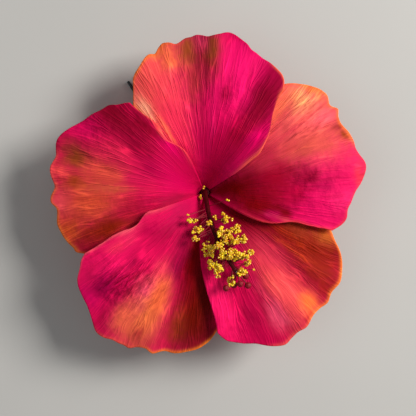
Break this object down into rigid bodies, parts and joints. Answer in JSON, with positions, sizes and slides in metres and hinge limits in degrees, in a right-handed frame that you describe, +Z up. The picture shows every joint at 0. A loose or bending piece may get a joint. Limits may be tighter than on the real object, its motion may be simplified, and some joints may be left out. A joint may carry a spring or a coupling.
{
  "type": "flower hair clip",
  "caption": "Moulded foam hibiscus with overlapping petals and a pollen-tipped column, glued on felt to a sprung double-prong hair clip.",
  "frame": {"origin": "middle of the bounding box's footprint, on the surface that the clip's lower arm lies on", "axes": "+Z up out of the flower's face; +Y towards the top petal; the clip's prongs point 124 degrees anticlockwise from +X"},
  "size_m": [0.11, 0.112, 0.0356],
  "materials": {
    "petal_foam": "satin",
    "core_red": "matte",
    "calyx_green": "satin",
    "hot_melt": "satin",
    "column_red": "satin",
    "pollen_yellow": "matte",
    "stigma_dark": "satin",
    "felt_red": "matte",
    "black_lacquer": "gloss",
    "wire_steel": "satin",
    "spring_steel": "satin"
  },
  "bodies": {
    "lower_jaw": {"lower_arm": "black_lacquer"},
    "flower_jaw": {"petal_top": "petal_foam", "petal_right": "petal_foam", "petal_lower_right": "petal_foam", "petal_lower_left": "petal_foam", "petal_left": "petal_foam", "receptacle": "core_red", "calyx": "calyx_green", "glue_collar": "hot_melt", "column_wire": "wire_steel", "staminal_tube": "column_red", "filaments": "column_red", "pollen": "pollen_yellow", "styles": "stigma_dark", "stigma_pads": "stigma_dark", "felt_disc": "felt_red", "felt_strap": "felt_red", "clip_glue": "hot_melt", "upper_arm": "black_lacquer", "hinge_pin": "wire_steel", "torsion_spring": "spring_steel"}
  },
  "joints": [
    {"name": "jaw_hinge", "type": "hinge", "parent": "lower_jaw", "child": "flower_jaw", "pos_m": [-0.00101, 0.00269, 0.0027], "axis": [0.829, 0.5592, 0], "range_deg": [0, 17], "stiffness_Nm_per_rad": 0.1, "springref_deg": -28.65, "deforming": ["torsion_spring"]}
  ]
}
